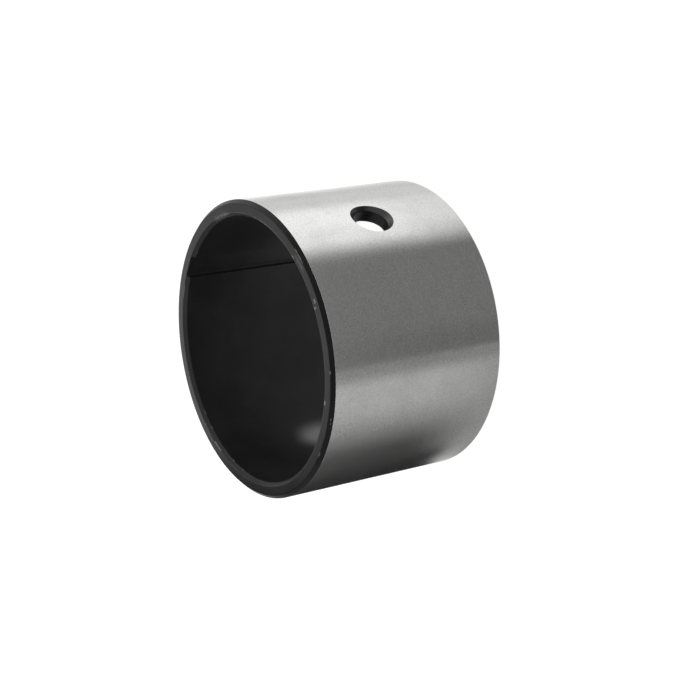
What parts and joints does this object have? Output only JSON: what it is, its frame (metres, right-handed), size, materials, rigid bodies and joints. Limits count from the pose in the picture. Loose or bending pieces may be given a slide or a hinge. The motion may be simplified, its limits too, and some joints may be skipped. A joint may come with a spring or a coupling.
{
  "type": "bearing sleeve",
  "caption": "Plain steel bearing sleeve with a ground outside, chamfered ends, a countersunk radial oil hole and an oil groove along the bore.",
  "frame": {"origin": "centre of the bore on the plane of the plain end, on which the sleeve stands", "axes": "+Z along the bore towards the end with the lead chamfer, +X through the oil hole"},
  "size_m": [0.09, 0.09, 0.0594],
  "materials": {
    "ground_steel": "hardened steel, ground and polished outside, darker turned bore"
  },
  "bodies": {
    "root": {"sleeve": "ground_steel"}
  },
  "joints": []
}
